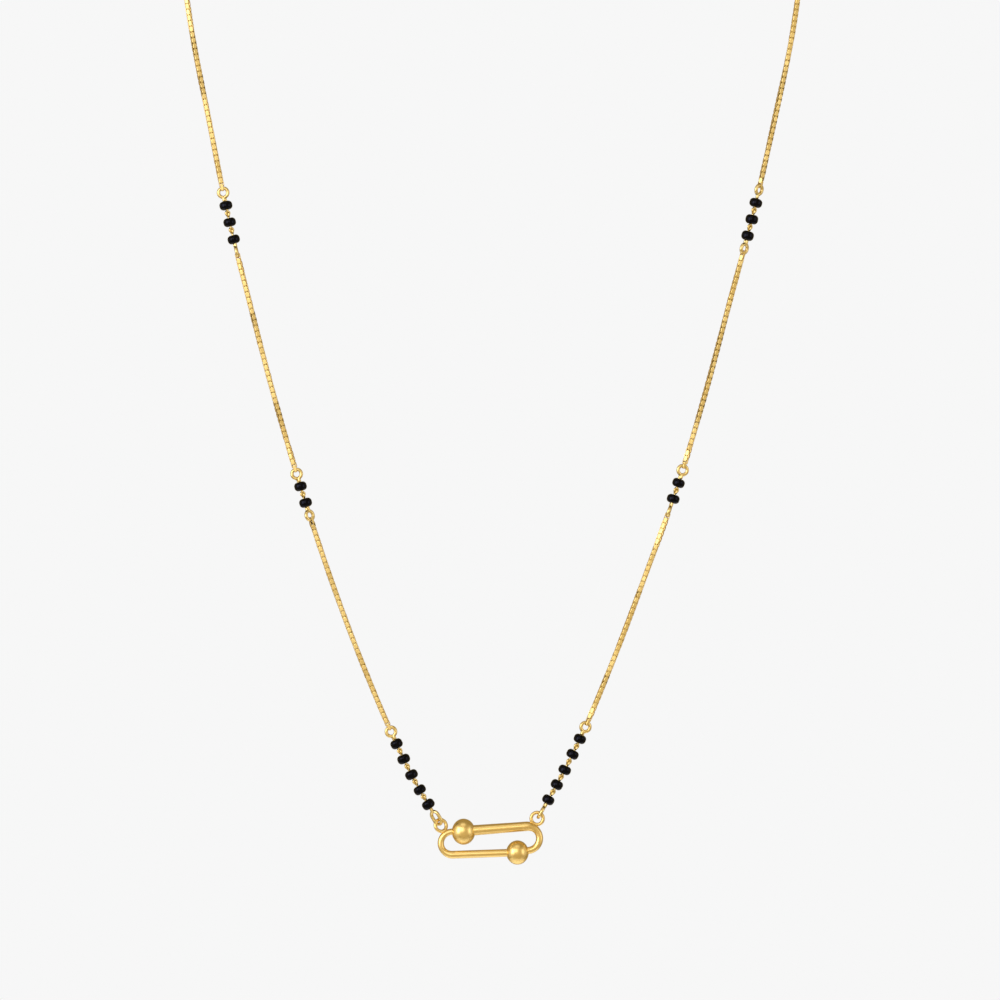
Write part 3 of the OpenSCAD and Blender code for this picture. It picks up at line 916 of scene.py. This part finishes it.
def barrel_clasp():
    """A plain barrel with full round rims, and an eye at each end."""
    bpy.ops.mesh.primitive_cylinder_add(
        vertices=64, radius=CLASP_D / 2, depth=CLASP_L, rotation=(0, QUARTER, 0)
    )
    barrel = bpy.context.view_layer.objects.active
    bpy.ops.object.transform_apply(rotation=True)
    edit(barrel, "EDGE", lambda e: abs(e.verts[0].co.x - e.verts[1].co.x) < NEAR)
    bpy.ops.mesh.bevel(offset=CLASP_EDGE_R, segments=8, affect="EDGES")
    leave_edit()
    parts = [smooth(barrel, 40)]
    for sign in (-1, 1):
        eye_at = Matrix.Translation((sign * CLASP_EYE_AT, 0, 0))
        parts.append(smooth(wire_ring(EYE_D, EYE_WIRE_D, 16, eye_at), 60))
    return joined(parts)


finish_piece(barrel_clasp(), "barrel_clasp", "necklace", "clasp", CLASP_GOLD)


# Floor, light and camera, in metres apart from the paper's fibres

PALE = "#F7F7F7"
FLOOR_SIZE = (1.1, 0.9)
PAPER_FIBRE = 2.0
PAPER_RELIEF = 0.05
FLOOR_MIDDLE = Vector((0.0, 0.1, -0.6))
LOOK_AT = Vector((0.0, FRONT_Y * MM, -0.12))


def matt_paper():
    """Matt white paper: even and dull, with the faint relief of its fibres."""
    material = new_material("matt_white_paper")
    tree = material.node_tree
    place = add(tree, "ShaderNodeTexCoord").outputs["Object"]
    fibre = add(tree, "ShaderNodeTexNoise", {"Vector": place, "Scale": 1 / (PAPER_FIBRE * MM)})
    relief = add(tree, "ShaderNodeBump", {"Height": fibre.outputs["Fac"], "Distance": PAPER_RELIEF * MM})
    shader = add(tree, "ShaderNodeBsdfPrincipled", {
        "Base Color": srgb(PALE), "Roughness": 0.8, "Normal": relief.outputs["Normal"],
    })
    add(tree, "ShaderNodeOutputMaterial", {"Surface": shader.outputs["BSDF"]})
    return material


bpy.ops.mesh.primitive_plane_add(size=1)
floor = bpy.context.view_layer.objects.active
floor.name = "floor"
floor.data.transform(Matrix.Translation(FLOOR_MIDDLE) @ Matrix.Diagonal((*FLOOR_SIZE, 1, 1)))
floor.data.materials.append(matt_paper())


def softbox(name, place, towards, width, height, energy):
    """A white lamp with a rectangular face that looks towards a point."""
    lamp = bpy.data.lights.new(name, "AREA")
    lamp.shape = "RECTANGLE"
    lamp.size = width
    lamp.size_y = height
    lamp.energy = energy
    holder = bpy.data.objects.new(name, lamp)
    holder.location = place
    holder.rotation_mode = "QUATERNION"
    holder.rotation_quaternion = (towards - Vector(place)).to_track_quat("-Z", "Y")
    holder.visible_camera = False
    bpy.context.scene.collection.objects.link(holder)


softbox("key_left", (-0.76, -0.7, 0.02), LOOK_AT, width=0.4, height=0.64, energy=2.5)
softbox("overhead", (-0.08, -0.6, 0.75), LOOK_AT, width=0.8, height=0.4, energy=0.8)
softbox("front_high", (-0.3, -0.95, 0.14), LOOK_AT, width=0.75, height=0.5, energy=1.8)
softbox("fill_right", (0.84, -0.6, -0.03), LOOK_AT, width=0.4, height=0.6, energy=0.9)
softbox("floor_light", (0.0, 0.1, -0.3), FLOOR_MIDDLE, width=0.8, height=0.5, energy=1.6)

# Soft glows round the room: direction, cosines where a glow starts and is full, colour and strength
ROOM_COLOUR = "#A8966E"
GLOWS = (
    ((0.0, -1.0, 0.0), 0.4, 0.95, "#FFEBC8", 0.26),
    ((-0.95, -0.3, 0.1), 0.7, 0.97, "#FFFFFF", 0.5),
    ((0.97, -0.2, 0.1), 0.75, 0.97, "#FFFFFF", 0.35),
)


def pale_studio():
    """A warm room with its glows, which the camera itself sees as one pale backdrop."""
    world = bpy.data.worlds.new("pale_studio")
    world.use_nodes = True
    tree = world.node_tree
    tree.nodes.clear()
    direction = add(tree, "ShaderNodeTexCoord").outputs["Generated"]
    room = add(tree, "ShaderNodeBackground", {"Color": srgb(ROOM_COLOUR), "Strength": 1.0}).outputs[0]
    for towards, start, full, colour, strength in GLOWS:
        facing = add(tree, "ShaderNodeVectorMath", {
            0: direction, 1: Vector(towards).normalized(),
        }, operation="DOT_PRODUCT")
        fade = add(tree, "ShaderNodeMapRange", {
            "Value": facing.outputs["Value"], "From Min": start, "From Max": full,
            "To Min": 0.0, "To Max": strength,
        }, interpolation_type="SMOOTHSTEP")
        glow = add(tree, "ShaderNodeBackground", {
            "Color": srgb(colour), "Strength": fade.outputs["Result"],
        }).outputs[0]
        room = add(tree, "ShaderNodeAddShader", {0: room, 1: glow}).outputs[0]
    seen = add(tree, "ShaderNodeLightPath").outputs["Is Camera Ray"]
    backdrop = add(tree, "ShaderNodeBackground", {"Color": srgb(PALE), "Strength": 1.0}).outputs[0]
    shown = add(tree, "ShaderNodeMixShader", {0: seen, 1: room, 2: backdrop})
    add(tree, "ShaderNodeOutputWorld", {"Surface": shown.outputs["Shader"]})
    return world


bpy.context.scene.world = pale_studio()
bpy.context.scene.view_settings.view_transform = "Standard"

# The camera looks straight at the necklace's front from a metre away, at a view 165 mm wide
VIEW_W = 0.165
VIEW_MIDDLE = (0.00157, -0.10742)
CAMERA_DISTANCE = 1.0
SENSOR_MM = 36.0
camera_data = bpy.data.cameras.new("camera")
camera_data.sensor_width = SENSOR_MM
camera_data.lens = SENSOR_MM * CAMERA_DISTANCE / VIEW_W
camera = bpy.data.objects.new("camera", camera_data)
camera.location = (VIEW_MIDDLE[0], FRONT_Y * MM - CAMERA_DISTANCE, VIEW_MIDDLE[1])
camera.rotation_euler = (QUARTER, 0, 0)
bpy.context.scene.collection.objects.link(camera)
bpy.context.scene.camera = camera
